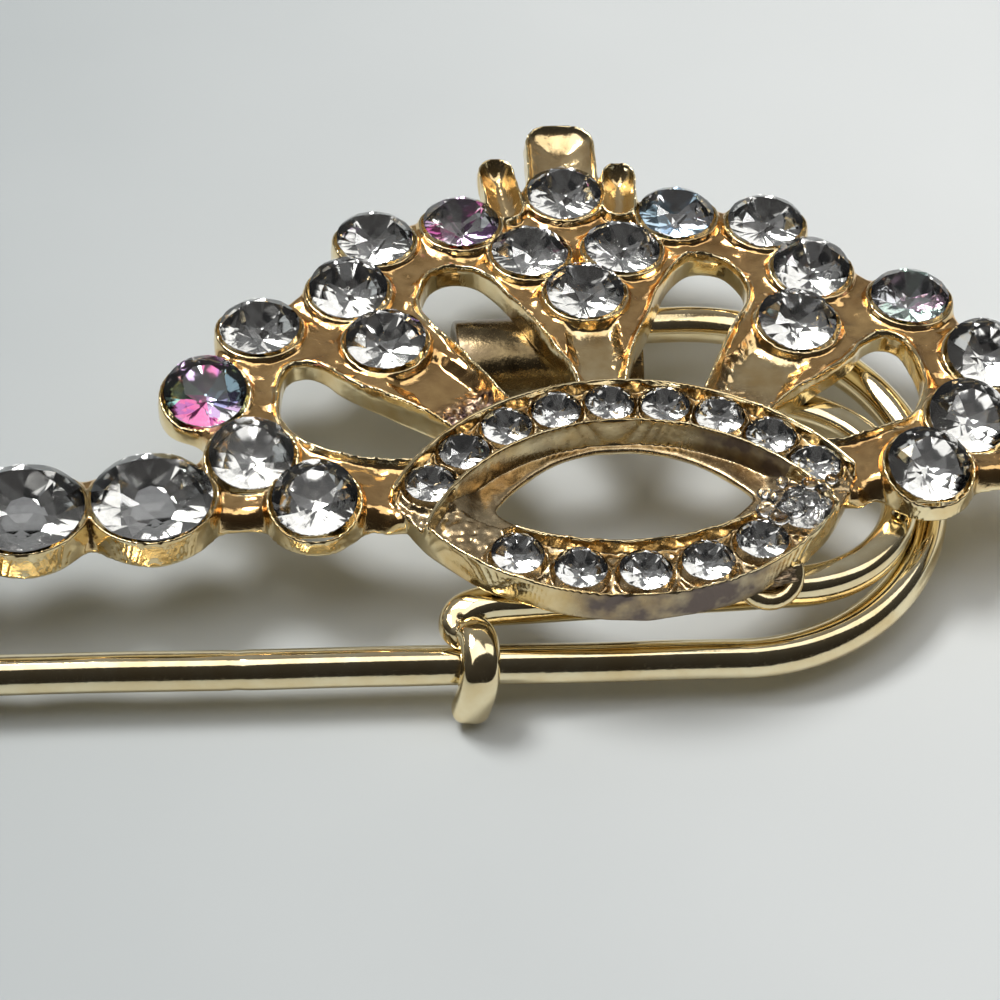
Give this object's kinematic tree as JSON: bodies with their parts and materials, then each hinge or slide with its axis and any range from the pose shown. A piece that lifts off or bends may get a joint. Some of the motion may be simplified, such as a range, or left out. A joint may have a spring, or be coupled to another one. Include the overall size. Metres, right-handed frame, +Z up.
{
  "type": "safety pin brooch",
  "caption": "Gold-plated tiara brooch set with rhinestones on a large wire safety pin, lying on its back.",
  "frame": {"origin": "on the surface the brooch rests on, below the middle of its outline", "axes": "+X along the row of large stones to the right, +Y from the eye-shaped band up to the tiara's topper, +Z up out of the stones' tables"},
  "size_m": [0.0592, 0.0302, 0.0062],
  "materials": {
    "cast_gold": "gold-plated casting, bright with darker hollows",
    "wire_gold": "polished gold-plated wire",
    "cap_gold": "plain gold-plated cap",
    "clear_glass": "foil-backed clear rhinestone",
    "rainbow_glass": "foil-backed rhinestone with a rainbow coating"
  },
  "bodies": {
    "root": {"crown": "cast_gold", "pin_wire": "wire_gold", "keeper_wire": "wire_gold", "pin_head": "cap_gold", "clear_stone_1": "rainbow_glass", "clear_stone_2": "clear_glass", "clear_stone_3": "clear_glass", "clear_stone_4": "clear_glass", "clear_stone_5": "rainbow_glass", "clear_stone_6": "clear_glass", "clear_stone_7": "clear_glass", "clear_stone_8": "clear_glass", "clear_stone_9": "clear_glass", "clear_stone_10": "clear_glass", "clear_stone_11": "rainbow_glass", "clear_stone_12": "clear_glass", "clear_stone_13": "clear_glass", "clear_stone_14": "rainbow_glass", "clear_stone_15": "clear_glass", "clear_stone_16": "clear_glass", "clear_stone_17": "clear_glass", "clear_stone_18": "clear_glass", "clear_stone_19": "clear_glass", "clear_stone_20": "clear_glass", "band_stone_1": "clear_glass", "band_stone_2": "clear_glass", "band_stone_3": "clear_glass", "band_stone_4": "clear_glass", "band_stone_5": "clear_glass", "band_stone_6": "clear_glass", "band_stone_7": "clear_glass", "band_stone_8": "clear_glass", "band_stone_9": "clear_glass", "band_stone_10": "clear_glass", "band_stone_11": "clear_glass", "band_stone_12": "clear_glass", "band_stone_13": "clear_glass", "band_stone_14": "clear_glass", "band_stone_15": "clear_glass", "large_stone_1": "clear_glass", "large_stone_2": "clear_glass", "large_stone_3": "clear_glass", "large_stone_4": "clear_glass", "large_stone_5": "clear_glass", "large_stone_6": "clear_glass"}
  },
  "joints": []
}
